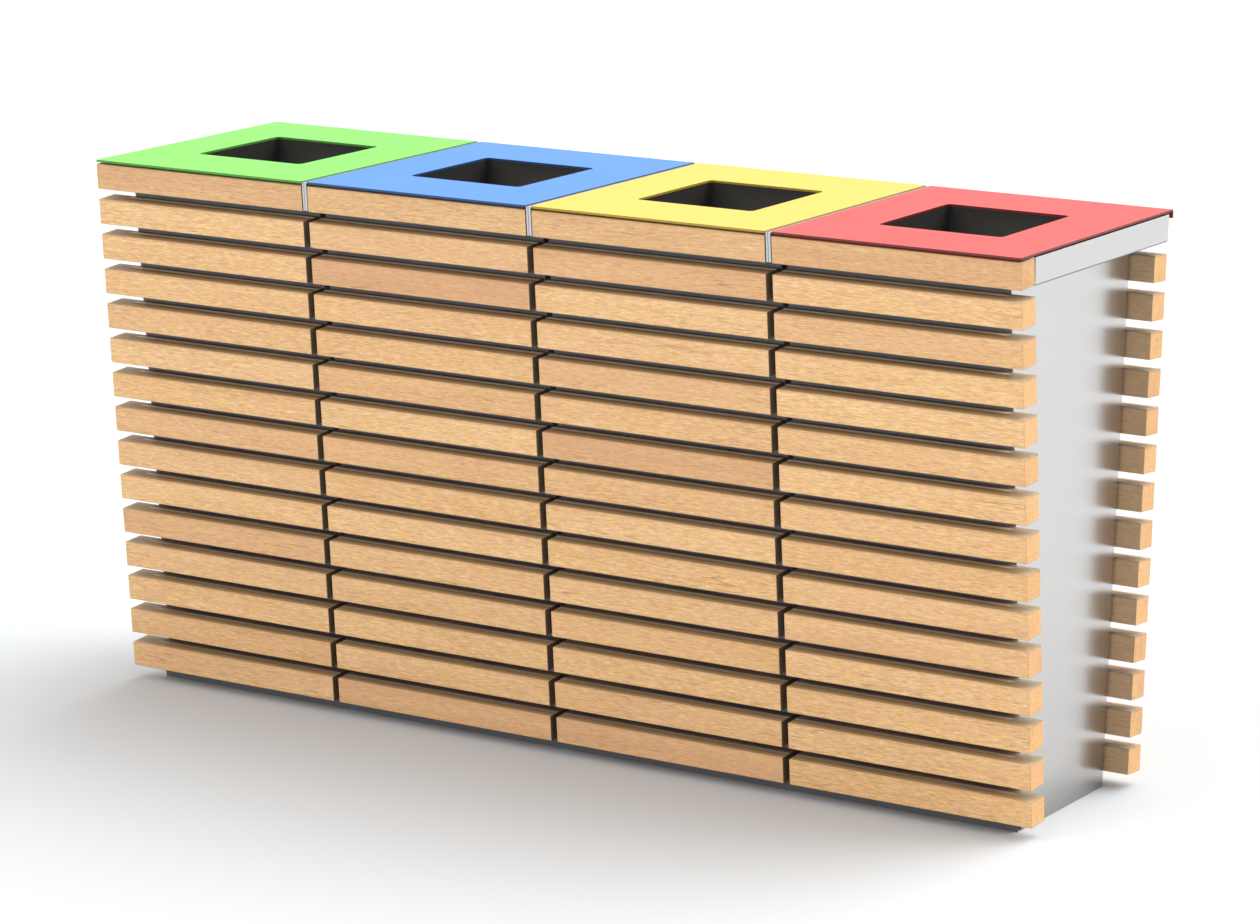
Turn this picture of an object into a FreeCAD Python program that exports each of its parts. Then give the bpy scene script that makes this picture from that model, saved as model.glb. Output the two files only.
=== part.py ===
"""Four-stream recycling bin: a tapered sheet-steel cabinet clad in timber slats.

Frame: +X along the cabinet, +Y to the rear, +Z up. The origin is the centre of the footprint.
The cabinet is divided into four modules, and each has a coloured lid hinged along its rear edge.
"""
import FreeCAD, Part
import math
import os
import Sketcher

Vector = FreeCAD.Vector

DIMENSIONS = {
    # cabinet
    "module_pitch": 483,
    "top_depth": 530,
    "taper": 3.93,
    "slat_top": 992,
    "deck_height": 984,
    "side_inset": 46,
    "side_sheet": 3,
    "panel_sheet": 2,
    "panel_return": 15,
    "panel_drop": 13,
    "toe_reach": 14,
    "toe_height": 17,
    "toe_gap": 0.25,
    "partition_sheet": 3,
    "partition_setback": 16,
    "partition_flange": 40,
    "partition_top": 944,
    "base_sheet": 4,
    "base_half_depth": 131,
    "anchor_spacing_x": 1680,
    "anchor_spacing_y": 180,
    "anchor_radius": 6.5,
    # timber
    "slat_length": 471,
    "slat_height": 47,
    "slat_thickness": 46,
    "slat_pitch": 66,
    "slat_edge": 2,
    "spacer": 4,
    "spacer_radius": 10,
    "spacer_bore": 3.5,
    "screw_offset": 150,
    "screw_radius": 3,
    "screw_hole": 3.3,
    "screw_grip": 32,
    "screw_head": 4,
    "screw_flats": 10,
    # steel band round the top
    "band_bottom": 947,
    "band_top": 993.5,
    "band_sheet": 3,
    "band_corner": 5,
    "band_gap": 0.5,
    "divider_width": 10,
    "divider_top": 998.5,
    "divider_wall": 2,
    "divider_tail": 279,
    "divider_edge": 1.5,
    "divider_nose": 4,
    "tail_gap": 0.5,
    "deck_sheet": 2,
    "deck_half_width": 232.5,
    "deck_front": 217,
    "deck_rear": 261,
    "deck_opening_half_width": 185,
    "deck_opening_half_depth": 198,
    "buffer_radius": 8,
    "buffer_gap": 0.1,
    "buffer_chamfer": 1.5,
    "buffer_x": 210,
    "buffer_y": 190,
    # lids
    "lid_bottom": 996,
    "lid_plate": 4,
    "lid_front": 266,
    "lid_rear": 281,
    "lip_bottom": 985,
    "lid_corner": 3,
    "lid_fold": 3.5,
    "opening_width": 236,
    "opening_depth": 243,
    "opening_corner": 10,
    "throat_sheet": 2,
    "throat_bottom": 951,
    # hinges
    "hinge_y": 271,
    "hinge_z": 986,
    "hinge_offset": 150,
    "hinge_length": 60,
    "knuckle_radius": 4.5,
    "lid_knuckle": 30,
    "knuckle_gap": 0.25,
    "pin_radius": 2.5,
    "pin_clearance": 0.05,
    "pin_overhang": 2,
    "pin_chamfer": 0.6,
    "leaf_sheet": 2.5,
    "leaf_drop": 27,
    "leaf_gap_margin": 1.5,
    "leaf_gap_reach": 8,
    "lid_leaf_sheet": 1.7,
    "lid_leaf_reach": 31,
    "upright_front": 1.5,
    "upright_rear": 1.2,
    "rivet_radius": 2,
    "rivet_head": 3.5,
    "rivet_head_thick": 1.2,
    "rivet_drop": 20.25,
    # liners
    "liner_top": 925,
    "liner_wall": 4,
    "liner_rim": 8,
    "liner_base_width": 330,
    "liner_base_depth": 250,
    "liner_mouth_width": 344,
    "liner_mouth_depth": 374,
    "liner_corner": 25,
    "grip_width": 100,
    "grip_depth": 28,
    "grip_drop": 50,
}
ROWS = 15
LID_COLOURS = ("green", "blue", "yellow", "red")
MODULES = range(4)
X_AXIS = Vector(1, 0, 0)
Z_AXIS = Vector(0, 0, 1)
SAME = 1e-6
CLOSE = 0.1
NEAR = 0.6

doc = FreeCAD.newDocument("recycling_bin")
sheet = doc.addObject("Spreadsheet::Sheet", "Dims")
for row, (alias, value) in enumerate(DIMENSIONS.items(), start=1):
    sheet.set("A%d" % row, alias)
    sheet.set("B%d" % row, str(value))
    sheet.setAlias("B%d" % row, alias)
doc.recompute()

SUB_PARTS = []


# ---------------------------------------------------------------- expressions and numbers

def number(expression):
    """The value of an expression over the sheet's cells."""
    return float(sheet.evalExpression(str(expression)))


def dim(alias):
    """The value of one cell."""
    return number("Dims." + alias)


COS = "cos(Dims.taper*1deg)"
TAN = "tan(Dims.taper*1deg)"
SIN = "sin(Dims.taper*1deg)"
LID_MIDDLE = "((Dims.lid_rear - Dims.lid_front)/2)"


def depth_at(offset, height):
    """Half-depth of the cabinet, `offset` inside its inclined slat faces, at a height."""
    return "(Dims.top_depth/2 - (%s)/%s - (Dims.slat_top - (%s))*%s)" % (offset, COS, height, TAN)


def slope_height(offset, height):
    """Height along the inclined face, from the top slat's edge, of a level plane."""
    return "(((%s) - Dims.slat_top - (%s)*%s)/%s)" % (height, offset, SIN, COS)


def module_x(module):
    """Centre of a module along the cabinet."""
    return (module - 1.5) * dim("module_pitch")


def front_face(x=0.0):
    """Frame of the front cladding: Y goes inwards and Z up the inclined face."""
    corner = Vector(x, -dim("top_depth") / 2, dim("slat_top"))
    return FreeCAD.Placement(corner, FreeCAD.Rotation(X_AXIS, dim("taper")))


def rear_face(x=0.0):
    """Frame of the rear cladding: the front frame turned half a turn about Z."""
    half_turn = FreeCAD.Placement(Vector(), FreeCAD.Rotation(Z_AXIS, 180))
    return half_turn.multiply(front_face(-x))


def moved(x=0.0, y=0.0, z=0.0):
    return FreeCAD.Placement(Vector(x, y, z), FreeCAD.Rotation())


# ---------------------------------------------------------------- modelling helpers

def new_body(label, placement=None, kept=True):
    body = doc.addObject("PartDesign::Body", label)
    body.Label = label
    if placement is not None:
        body.Placement = placement
    if kept:
        SUB_PARTS.append(body)
    return body


def new_sketch(body, role, lift="0"):
    """An empty sketch on one of the body's own origin planes, lifted along its normal."""
    plane = next(f for f in body.Origin.OriginFeatures if f.Role == role)
    sketch = body.newObject("Sketcher::SketchObject", "sketch")
    sketch.AttachmentSupport = (plane, [""])
    sketch.MapMode = "FlatFace"
    sketch.setExpression("AttachmentOffset.Base.z", lift)
    return sketch


def pin_down(sketch, kind, geometry, point, expression):
    """Hold one coordinate of a point at an expression's value."""
    constraint = Sketcher.Constraint(kind, -1, 1, geometry, point, number(expression))
    index = sketch.addConstraint(constraint)
    sketch.setExpression("Constraints[%d]" % index, str(expression))


def polygon(sketch, corners):
    """A closed outline through corners, each a pair of expressions."""
    points = [Vector(number(x), number(y), 0) for x, y in corners]
    first = sketch.GeometryCount
    count = len(points)
    for k in range(count):
        sketch.addGeometry(Part.LineSegment(points[k], points[(k + 1) % count]), False)
    for k in range(count):
        following = first + (k + 1) % count
        sketch.addConstraint(Sketcher.Constraint("Coincident", first + k, 2, following, 1))
    for k, (x, y) in enumerate(corners):
        pin_down(sketch, "DistanceX", first + k, 1, x)
        pin_down(sketch, "DistanceY", first + k, 1, y)
    return sketch


def rectangle(sketch, left, right, low, high):
    return polygon(sketch, [(left, low), (right, low), (right, high), (left, high)])


def rounded_rectangle(sketch, half_width, half_depth, radius):
    """A rectangle about the origin with round corners: four quarter arcs joined by lines."""
    reach_x = number("%s - (%s)" % (half_width, radius))
    reach_y = number("%s - (%s)" % (half_depth, radius))
    arcs = []
    for quarter, (side, end) in enumerate((("", ""), ("-", ""), ("-", "-"), ("", "-"))):
        centre = Vector(-reach_x if side else reach_x, -reach_y if end else reach_y, 0)
        start = quarter * math.pi / 2
        whole = Part.Circle(centre, Z_AXIS, number(radius))
        arc = sketch.addGeometry(Part.ArcOfCircle(whole, start, start + math.pi / 2), False)
        pin_down(sketch, "DistanceX", arc, 3, "%s(%s - (%s))" % (side, half_width, radius))
        pin_down(sketch, "DistanceY", arc, 3, "%s(%s - (%s))" % (end, half_depth, radius))
        size = sketch.addConstraint(Sketcher.Constraint("Radius", arc, number(radius)))
        sketch.setExpression("Constraints[%d]" % size, radius)
        level, upright = (1, 2) if quarter % 2 == 0 else (2, 1)
        sketch.addConstraint(Sketcher.Constraint("Horizontal", arc, level, arc, 3))
        sketch.addConstraint(Sketcher.Constraint("Vertical", arc, upright, arc, 3))
        arcs.append(arc)
    for quarter, arc in enumerate(arcs):
        following = arcs[(quarter + 1) % 4]
        ends = [sketch.getPoint(arc, 2), sketch.getPoint(following, 1)]
        line = sketch.addGeometry(Part.LineSegment(*ends), False)
        sketch.addConstraint(Sketcher.Constraint("Coincident", line, 1, arc, 2))
        sketch.addConstraint(Sketcher.Constraint("Coincident", line, 2, following, 1))
    return sketch


def circle(sketch, x, y, radius):
    centre = Vector(number(x), number(y), 0)
    index = sketch.addGeometry(Part.Circle(centre, Z_AXIS, number(radius)), False)
    pin_down(sketch, "DistanceX", index, 3, x)
    pin_down(sketch, "DistanceY", index, 3, y)
    constraint = sketch.addConstraint(Sketcher.Constraint("Radius", index, number(radius)))
    sketch.setExpression("Constraints[%d]" % constraint, str(radius))
    return sketch


def extrude(body, sketch, length, kind="Pad", both=False, backwards=False):
    """A Pad or a Pocket of a sketch. A Pocket is checked to have taken something away."""
    before = body.Shape.Volume if kind == "Pocket" else 0.0
    feature = body.newObject("PartDesign::" + kind, kind.lower())
    feature.Profile = sketch
    feature.SideType = "Symmetric" if both else "One side"
    feature.Reversed = backwards
    feature.setExpression("Length", str(length))
    doc.recompute()
    if kind == "Pocket" and body.Shape.Volume >= before - SAME:
        raise ValueError("%s: a pocket cuts nothing" % body.Label)
    return feature


def round_edges(body, radius, chosen, name="Fillet"):
    """Round (or chamfer) the edges of the body that `chosen` accepts."""
    base = body.Tip
    names = ["Edge%d" % (k + 1) for k, edge in enumerate(base.Shape.Edges) if chosen(edge)]
    feature = body.newObject("PartDesign::" + name, name.lower())
    feature.Base = (base, names)
    feature.setExpression("Radius" if name == "Fillet" else "Size", str(radius))
    body.Tip = feature
    doc.recompute()
    if not names or "Invalid" in feature.State:
        raise ValueError("%s: %d edges can't be rounded" % (body.Label, len(names)))
    return feature


def runs_along(edge, axis):
    """Whether an edge is straight and parallel to an axis."""
    if not isinstance(edge.Curve, Part.Line):
        return False
    return abs(abs(edge.Curve.Direction.dot(axis)) - 1) < SAME


def at(edge, x=None, y=None, z=None):
    """Whether the middle of an edge lies at the given coordinates."""
    middle = edge.CenterOfMass
    wanted = ((middle.x, x), (middle.y, y), (middle.z, z))
    return all(target is None or abs(value - target) < NEAR for value, target in wanted)


def copies(label, template, placements, placement=None):
    """One node of equal, separate solids: copies of a template body's solid."""
    shapes = []
    for place in placements:
        shape = template.Shape.copy()
        shape.Placement = place.multiply(template.Shape.Placement)
        shapes.append(shape)
    group = doc.addObject("Part::Feature", label)
    group.Label = label
    group.Shape = Part.makeCompound(shapes)
    if placement is not None:
        group.Placement = placement
    SUB_PARTS.append(group)
    return group


# ---------------------------------------------------------------- cabinet

def base_plate():
    """The floor of the cabinet, with four holes for ground anchors."""
    body = new_body("base_plate")
    half = "(1.5*Dims.module_pitch + Dims.slat_length/2 - Dims.side_inset - Dims.side_sheet)"
    outline = rectangle(new_sketch(body, "XY_Plane"), "-" + half, half,
                        "-Dims.base_half_depth", "Dims.base_half_depth")
    extrude(body, outline, "Dims.base_sheet")
    holes = new_sketch(body, "XY_Plane")
    for side in ("-", ""):
        for end in ("-", ""):
            circle(holes, side + "Dims.anchor_spacing_x/2", end + "Dims.anchor_spacing_y/2",
                   "Dims.anchor_radius")
    extrude(body, holes, "Dims.base_sheet", "Pocket", backwards=True)


def side_panel(label, side):
    """A tapered end wall of brushed steel."""
    body = new_body(label)
    outside = "(1.5*Dims.module_pitch + Dims.slat_length/2 - Dims.side_inset)"
    skin = "(Dims.slat_thickness + Dims.spacer)"
    low = depth_at(skin, "0")
    high = depth_at(skin, "Dims.deck_height")
    lift = outside + " - Dims.side_sheet" if side > 0 else "-" + outside
    outline = polygon(new_sketch(body, "YZ_Plane", lift),
                      [("-" + low, "0"), (low, "0"),
                       (high, "Dims.deck_height"), ("-" + high, "Dims.deck_height")])
    extrude(body, outline, "Dims.side_sheet")


def partition(label, x):
    """A wall between two modules, with flanges that close the joints of the cladding sheets."""
    body = new_body(label, moved(x=x))
    outer = "(Dims.slat_thickness + Dims.spacer + Dims.partition_setback)"
    low = depth_at(outer, "Dims.base_sheet")
    high = depth_at(outer, "Dims.partition_top")
    outline = polygon(new_sketch(body, "YZ_Plane"),
                      [("-" + low, "Dims.base_sheet"), (low, "Dims.base_sheet"),
                       (high, "Dims.partition_top"), ("-" + high, "Dims.partition_top")])
    extrude(body, outline, "Dims.partition_sheet", both=True)
    for sign in ("-", ""):
        low_inside = "(%s - Dims.partition_sheet)" % low
        high_inside = "(%s - Dims.partition_sheet)" % high
        flange = polygon(new_sketch(body, "YZ_Plane"),
                         [(sign + low, "Dims.base_sheet"), (sign + low_inside, "Dims.base_sheet"),
                          (sign + high_inside, "Dims.partition_top"),
                          (sign + high, "Dims.partition_top")])
        extrude(body, flange, "Dims.partition_flange", both=True)


def cladding_panel(label, placement, short_side, first_row):
    """A dark sheet behind the slats, folded inwards at both edges and drilled for the screws.

    The sheet ends at the end wall on its `short_side` (-1, 0 or 1 in its own frame)."""
    body = new_body(label, placement)
    full = "Dims.slat_length/2"
    cut_back = "(Dims.slat_length/2 - Dims.side_inset - Dims.side_sheet)"
    left = "-" + (cut_back if short_side < 0 else full)
    right = cut_back if short_side > 0 else full
    outer = "(Dims.slat_thickness + Dims.spacer)"
    sheet_back = "(%s + Dims.panel_sheet)" % outer
    fold_back = "(%s + Dims.panel_return)" % outer
    inner_left = "(%s + Dims.panel_sheet)" % left
    inner_right = "(%s - Dims.panel_sheet)" % right
    section = polygon(new_sketch(body, "XY_Plane", "-Dims.panel_drop"),
                      [(left, outer), (right, outer), (right, fold_back), (inner_right, fold_back),
                       (inner_right, sheet_back), (inner_left, sheet_back),
                       (inner_left, fold_back), (left, fold_back)])
    extrude(body, section, "-Dims.panel_drop - %s" % slope_height(outer, "0"), backwards=True)
    holes = new_sketch(body, "XZ_Plane", "-(%s + Dims.panel_sheet)" % outer)
    row_height = "-(Dims.slat_height/2 + %d*Dims.slat_pitch)" % first_row
    for side in ("-", ""):
        circle(holes, side + "Dims.screw_offset", row_height, "Dims.screw_hole")
    pocket = extrude(body, holes, "Dims.panel_sheet", "Pocket", backwards=True)
    pattern = body.newObject("PartDesign::LinearPattern", "rows")
    pattern.Originals = [pocket]
    pattern.Direction = (holes, ["V_Axis"])
    pattern.Reversed = True
    pattern.Occurrences = ROWS - first_row
    pattern.setExpression("Length", "%d*Dims.slat_pitch" % (ROWS - first_row - 1))
    before = body.Shape.Volume
    body.Tip = pattern
    doc.recompute()
    if body.Shape.Volume >= before - SAME:
        raise ValueError("%s: the rows of holes are missing" % label)
    return body


def toe_angle(body, short_side):
    """An angle along the foot of a front sheet, below the lowest slat and down to the ground."""
    full = "(Dims.module_pitch/2 - Dims.toe_gap)"
    flush = "(Dims.slat_length/2 - Dims.side_inset)"
    left = "-" + (flush if short_side < 0 else full)
    right = flush if short_side > 0 else full
    outer = "(Dims.slat_thickness + Dims.spacer)"
    front = "(%s - Dims.toe_reach)" % outer
    top = "(%s + Dims.toe_height)" % slope_height(front, "0")
    shelf = rectangle(new_sketch(body, "XY_Plane", top), left, right, front, outer)
    extrude(body, shelf, "Dims.panel_sheet", backwards=True)
    lip = rectangle(new_sketch(body, "XY_Plane", top), left, right,
                    front, "(%s + Dims.panel_sheet)" % front)
    extrude(body, lip, "Dims.toe_height", backwards=True)


# ---------------------------------------------------------------- timber

def slat_blank():
    """One slat, lying in the cladding frame with its top edge at height 0."""
    body = new_body("slat_blank", kept=False)
    section = rectangle(new_sketch(body, "YZ_Plane"),
                        "0", "Dims.slat_thickness", "-Dims.slat_height", "0")
    extrude(body, section, "Dims.slat_length", both=True)
    round_edges(body, "Dims.slat_edge", lambda edge: runs_along(edge, X_AXIS))
    return body


def spacer_blank():
    """A nylon ring between a slat and the sheet behind it."""
    body = new_body("spacer_blank", kept=False)
    ring = new_sketch(body, "XZ_Plane", "-(Dims.slat_thickness + Dims.spacer)")
    circle(ring, "0", "0", "Dims.spacer_radius")
    circle(ring, "0", "0", "Dims.spacer_bore")
    extrude(body, ring, "Dims.spacer")
    return body


def screw_blank():
    """A hexagon-head wood screw, driven outwards from inside the cabinet."""
    body = new_body("screw_blank", kept=False)
    seat = "(Dims.slat_thickness + Dims.spacer + Dims.panel_sheet)"
    head = new_sketch(body, "XZ_Plane", "-" + seat)
    corner = "(Dims.screw_flats/2/cos(30deg))"
    hexagon = [("%s*cos(%ddeg)" % (corner, angle), "%s*sin(%ddeg)" % (corner, angle))
               for angle in range(0, 360, 60)]
    polygon(head, hexagon)
    extrude(body, head, "Dims.screw_head", backwards=True)
    shank = circle(new_sketch(body, "XZ_Plane", "-" + seat), "0", "0", "Dims.screw_radius")
    extrude(body, shank, "Dims.screw_grip")
    return body


def row_places(first_row, last_row):
    return [moved(z=-row * dim("slat_pitch")) for row in range(first_row, last_row)]


def fastener_places():
    """Every slat's two screw positions, on both faces of the cabinet."""
    places = []
    for face, first_row in ((front_face, 0), (rear_face, 1)):
        for module in MODULES:
            for row in range(first_row, ROWS):
                height = -(dim("slat_height") / 2 + row * dim("slat_pitch"))
                for side in (-1, 1):
                    spot = moved(x=side * dim("screw_offset"), z=height)
                    places.append(face(module_x(module)).multiply(spot))
    return places


# ---------------------------------------------------------------- steel band round the top

def end_skirt(label, side):
    """The band's end: a plate flush with the slat ends, folded in to the end wall below."""
    body = new_body(label)
    half = "(1.5*Dims.module_pitch + Dims.slat_length/2)"
    lift = half + " - Dims.band_sheet" if side > 0 else "-" + half
    slat_back = "(Dims.slat_thickness + Dims.band_gap)"
    front_low = depth_at(slat_back, "Dims.band_bottom")
    front_high = depth_at(slat_back, "Dims.band_top")
    rear_low = depth_at("0", "Dims.band_bottom")
    rear_high = depth_at("0", "Dims.band_top")
    plate = polygon(new_sketch(body, "YZ_Plane", lift),
                    [("-" + front_low, "Dims.band_bottom"), (rear_low, "Dims.band_bottom"),
                     (rear_high, "Dims.band_top"), ("-" + front_high, "Dims.band_top")])
    extrude(body, plate, "Dims.band_sheet")
    round_edges(body, "Dims.band_corner", lambda edge: runs_along(edge, X_AXIS)
                and at(edge, y=number(rear_low), z=dim("band_bottom")))
    near = "(%s - Dims.side_inset)" % half
    far = "(%s - Dims.band_sheet)" % half
    left, right = (near, far) if side > 0 else ("-" + far, "-" + near)
    rear = depth_at("Dims.band_sheet", "Dims.band_bottom")
    ledge = rectangle(new_sketch(body, "XY_Plane", "Dims.band_bottom"),
                      left, right, "-" + front_low, rear)
    extrude(body, ledge, "Dims.band_sheet")


def rear_skirt():
    """The band's rear: one sheet in the rear cladding face, above the first rear slats."""
    body = new_body("rear_skirt", rear_face())
    half = "(1.5*Dims.module_pitch + Dims.slat_length/2 - Dims.band_sheet)"
    low = slope_height("0", "Dims.band_bottom")
    high = slope_height("0", "Dims.band_top")
    outline = rectangle(new_sketch(body, "XZ_Plane"), "-" + half, half, low, high)
    extrude(body, outline, "Dims.band_sheet", backwards=True)


def divider(label, x):
    """A folded channel between two modules: it fills the joint of the top slats and the lids."""
    body = new_body(label, moved(x=x))
    front_low = depth_at("0", "Dims.band_bottom")
    front_high = depth_at("0", "Dims.divider_top")
    rear_low = depth_at("Dims.band_sheet", "Dims.band_bottom")
    tongue = "(Dims.band_top + Dims.tail_gap)"
    rear_high = depth_at("Dims.band_sheet", tongue)
    outline = polygon(new_sketch(body, "YZ_Plane"),
                      [("-" + front_low, "Dims.band_bottom"), (rear_low, "Dims.band_bottom"),
                       (rear_high, tongue), ("Dims.divider_tail", tongue),
                       ("Dims.divider_tail", "Dims.divider_top"),
                       ("-" + front_high, "Dims.divider_top")])
    extrude(body, outline, "Dims.divider_width", both=True)
    round_edges(body, "Dims.divider_edge", lambda edge: not runs_along(edge, X_AXIS)
                and (at(edge, z=dim("divider_top")) or edge.CenterOfMass.y < -dim("deck_front")
                     and edge.BoundBox.ZLength > edge.BoundBox.YLength))
    wall = "Dims.divider_wall"
    hollow_front = depth_at(wall, "Dims.band_bottom")
    hollow_rear = depth_at("Dims.band_sheet + " + wall, "Dims.band_bottom")
    hollow = rectangle(new_sketch(body, "YZ_Plane"), "-%s + Dims.divider_nose" % hollow_front, hollow_rear,
                       "Dims.band_bottom", tongue + " - " + wall)
    extrude(body, hollow, "Dims.divider_width - 2*" + wall, "Pocket", both=True)


def lid_seat(label, x):
    """The deck under a lid, with the opening that the liner is lifted out of."""
    body = new_body(label, moved(x=x, z=dim("deck_height")))
    outline = rectangle(new_sketch(body, "XY_Plane"),
                        "-Dims.deck_half_width", "Dims.deck_half_width",
                        "-Dims.deck_front", "Dims.deck_rear")
    extrude(body, outline, "Dims.deck_sheet")
    opening = rectangle(new_sketch(body, "XY_Plane"),
                        "-Dims.deck_opening_half_width", "Dims.deck_opening_half_width",
                        "-Dims.deck_opening_half_depth", "Dims.deck_opening_half_depth")
    extrude(body, opening, "Dims.deck_sheet", "Pocket", backwards=True)
    reach = dim("deck_opening_half_width")
    round_edges(body, "Dims.opening_corner", lambda edge: runs_along(edge, Z_AXIS)
                and abs(abs(edge.CenterOfMass.x) - reach) < CLOSE)


def buffer_blank():
    """A rubber buffer that a lid rests on."""
    body = new_body("buffer_blank", moved(z=dim("deck_height") + dim("deck_sheet")), kept=False)
    foot = circle(new_sketch(body, "XY_Plane"), "0", "0", "Dims.buffer_radius")
    height = "Dims.lid_bottom - Dims.deck_height - Dims.deck_sheet - Dims.buffer_gap"
    extrude(body, foot, height)
    top = number(height)
    round_edges(body, "Dims.buffer_chamfer", lambda edge: abs(edge.CenterOfMass.z - top) < CLOSE
                and isinstance(edge.Curve, Part.Circle), "Chamfer")
    return body


# ---------------------------------------------------------------- lids

def lid(label, x):
    """A coloured plate with its filling hole, folded down behind the hinges."""
    body = new_body(label, moved(x=x))
    plate = rectangle(new_sketch(body, "XY_Plane", "Dims.lid_bottom"),
                      "-Dims.slat_length/2", "Dims.slat_length/2",
                      "-Dims.lid_front", "Dims.lid_rear")
    extrude(body, plate, "Dims.lid_plate")
    top = "(Dims.lid_bottom + Dims.lid_plate)"
    lip = rectangle(new_sketch(body, "YZ_Plane"), "Dims.lid_rear - Dims.lid_plate",
                    "Dims.lid_rear", "Dims.lip_bottom", top)
    extrude(body, lip, "Dims.slat_length", both=True)
    hole = rectangle(new_sketch(body, "XY_Plane", "Dims.lid_bottom"),
                     "-Dims.opening_width/2", "Dims.opening_width/2",
                     LID_MIDDLE + " - Dims.opening_depth/2", LID_MIDDLE + " + Dims.opening_depth/2")
    extrude(body, hole, "Dims.lid_plate", "Pocket", backwards=True)
    half_hole = dim("opening_width") / 2
    round_edges(body, "Dims.opening_corner", lambda edge: runs_along(edge, Z_AXIS)
                and abs(abs(edge.CenterOfMass.x) - half_hole) < CLOSE)
    front = -dim("lid_front")
    round_edges(body, "Dims.lid_corner", lambda edge: runs_along(edge, Z_AXIS)
                and at(edge, y=front))
    rear = dim("lid_rear")
    round_edges(body, "Dims.lid_fold", lambda edge: runs_along(edge, X_AXIS)
                and at(edge, y=rear, z=number(top)))


def throat(label, x):
    """The collar under a lid's hole that guides litter into the liner."""
    body = new_body(label, moved(x=x, y=number(LID_MIDDLE), z=dim("throat_bottom")))
    height = "Dims.lid_bottom - Dims.throat_bottom"
    wall = "Dims.throat_sheet"
    outer = rectangle(new_sketch(body, "XY_Plane"),
                      "-Dims.opening_width/2 - " + wall, "Dims.opening_width/2 + " + wall,
                      "-Dims.opening_depth/2 - " + wall, "Dims.opening_depth/2 + " + wall)
    extrude(body, outer, height)
    inner = rectangle(new_sketch(body, "XY_Plane"), "-Dims.opening_width/2", "Dims.opening_width/2",
                      "-Dims.opening_depth/2", "Dims.opening_depth/2")
    extrude(body, inner, height, "Pocket", backwards=True)
    half_hole = dim("opening_width") / 2
    for half_width, radius in ((half_hole, "Dims.opening_corner"),
                               (half_hole + dim("throat_sheet"), "Dims.opening_corner + " + wall)):
        round_edges(body, radius, lambda edge: runs_along(edge, Z_AXIS)
                    and abs(abs(edge.CenterOfMass.x) - half_width) < CLOSE)


# ---------------------------------------------------------------- hinges, about their own axis

def frame_leaf_blank():
    """A fixed leaf: two knuckles and a plate riveted to the rear skirt."""
    body = new_body("frame_leaf_blank", kept=False)
    skirt = "(%s - Dims.hinge_y)" % depth_at("0", "Dims.hinge_z")
    foot = "(%s - Dims.hinge_y)" % depth_at("0", "Dims.hinge_z - Dims.leaf_drop")
    thick = "Dims.leaf_sheet/" + COS
    barrel = circle(new_sketch(body, "YZ_Plane"), "0", "0", "Dims.knuckle_radius")
    extrude(body, barrel, "Dims.hinge_length", both=True)
    plate = polygon(new_sketch(body, "YZ_Plane"),
                    [(foot, "-Dims.leaf_drop"), ("%s + %s" % (foot, thick), "-Dims.leaf_drop"),
                     ("%s + %s" % (skirt, thick), "0"), (skirt, "0")])
    extrude(body, plate, "Dims.hinge_length", both=True)
    room = "(Dims.knuckle_radius + Dims.leaf_gap_margin)"
    gap = rectangle(new_sketch(body, "YZ_Plane"), "-Dims.leaf_gap_reach", room, "-" + room, room)
    extrude(body, gap, "Dims.lid_knuckle + 2*Dims.knuckle_gap", "Pocket", both=True)
    bore = circle(new_sketch(body, "YZ_Plane"), "0", "0", "Dims.pin_radius + Dims.pin_clearance/2")
    extrude(body, bore, "Dims.hinge_length", "Pocket", both=True)
    return body


def lid_leaf_blank():
    """A moving leaf: one knuckle, an upright and a flange welded under the lid."""
    body = new_body("lid_leaf_blank", kept=False)
    lid_under = "(Dims.lid_bottom - Dims.hinge_z)"
    flange_under = "(%s - Dims.lid_leaf_sheet)" % lid_under
    barrel = circle(new_sketch(body, "YZ_Plane"), "0", "0", "Dims.knuckle_radius")
    extrude(body, barrel, "Dims.lid_knuckle", both=True)
    upright = rectangle(new_sketch(body, "YZ_Plane"), "-Dims.upright_front", "Dims.upright_rear",
                        "0", lid_under)
    extrude(body, upright, "Dims.lid_knuckle", both=True)
    flange = rectangle(new_sketch(body, "YZ_Plane"), "-Dims.lid_leaf_reach", "Dims.upright_rear",
                       flange_under, lid_under)
    extrude(body, flange, "Dims.hinge_length", both=True)
    bore = circle(new_sketch(body, "YZ_Plane"), "0", "0", "Dims.pin_radius + Dims.pin_clearance")
    extrude(body, bore, "Dims.lid_knuckle", "Pocket", both=True)
    return body


def pin_blank():
    """A hinge pin with chamfered ends."""
    body = new_body("pin_blank", kept=False)
    section = circle(new_sketch(body, "YZ_Plane"), "0", "0", "Dims.pin_radius")
    extrude(body, section, "Dims.hinge_length + 2*Dims.pin_overhang", both=True)
    round_edges(body, "Dims.pin_chamfer", lambda edge: isinstance(edge.Curve, Part.Circle), "Chamfer")
    return body


def rivet_blank():
    """A rivet through a fixed leaf and the rear skirt, standing in the cladding frame."""
    body = new_body("rivet_blank", kept=False)
    head = circle(new_sketch(body, "XZ_Plane", "Dims.leaf_sheet"), "0", "0", "Dims.rivet_head")
    extrude(body, head, "Dims.rivet_head_thick")
    shank = circle(new_sketch(body, "XZ_Plane", "Dims.leaf_sheet"), "0", "0", "Dims.rivet_radius")
    extrude(body, shank, "Dims.leaf_sheet + Dims.band_sheet", backwards=True)
    return body


def hinge_places(module):
    return [moved(module_x(module) + side * dim("hinge_offset"), dim("hinge_y"), dim("hinge_z"))
            for side in (-1, 1)]


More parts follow.
